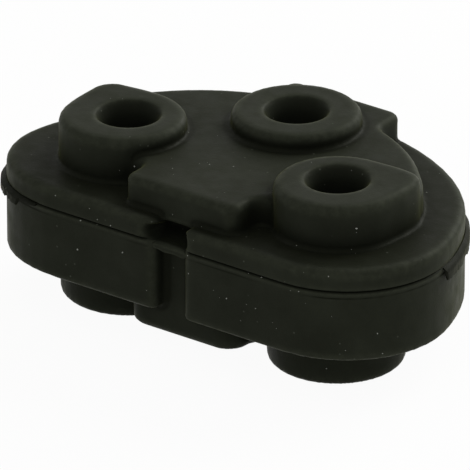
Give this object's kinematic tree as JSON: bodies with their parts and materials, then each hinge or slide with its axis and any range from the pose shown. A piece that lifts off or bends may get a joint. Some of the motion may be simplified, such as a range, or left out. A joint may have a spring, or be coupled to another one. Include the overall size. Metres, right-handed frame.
{
  "type": "exhaust mount",
  "caption": "Moulded black rubber exhaust mount: a lobed body with a raised web, a cross bar, round bosses with through bores, and a parting line round its wall.",
  "frame": {"origin": "centre of the bounding box's underside, on the plane of the lower boss faces", "axes": "+X along the line of the two side bores, +Y from the notched front towards the rear bore, +Z along the bores, up through the face nearer the parting line"},
  "size_m": [0.102, 0.0638, 0.0393],
  "materials": {
    "rubber": "matte moulded black rubber, dusty"
  },
  "bodies": {
    "root": {"exhaust_mount": "rubber"}
  },
  "joints": []
}
